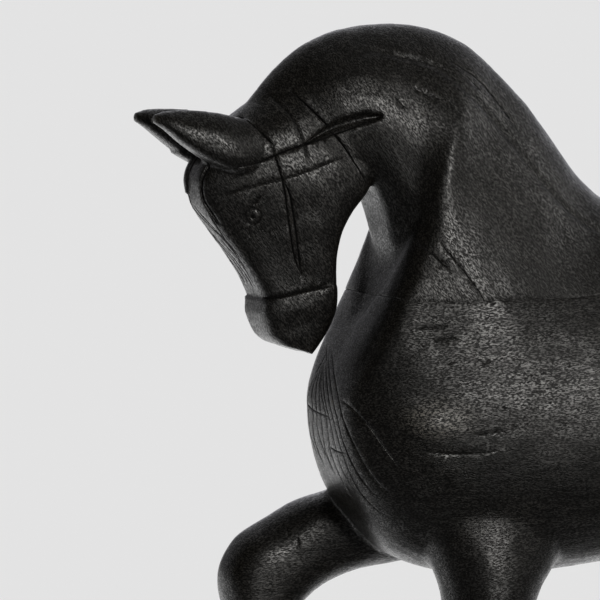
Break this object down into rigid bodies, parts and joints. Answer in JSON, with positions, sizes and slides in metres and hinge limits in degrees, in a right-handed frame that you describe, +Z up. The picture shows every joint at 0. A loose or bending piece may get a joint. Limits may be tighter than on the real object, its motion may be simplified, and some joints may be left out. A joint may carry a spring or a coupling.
{
  "type": "horse statuette",
  "caption": "Carved black-stained wooden horse with an arched neck and lowered head, stepping with one foreleg raised, on a low rectangular plinth.",
  "frame": {"origin": "middle of the plinth's underside, on the surface that the statuette stands on", "axes": "+Z up; the horse faces -X; its left side faces -Y"},
  "size_m": [0.4661, 0.126, 0.4511],
  "materials": {
    "carved_wood": "satin black stain, open grain, tool-cut lines",
    "plinth_wood": "satin black stain, open grain, worn edges"
  },
  "bodies": {
    "root": {"horse": "carved_wood", "plinth": "plinth_wood"}
  },
  "joints": []
}
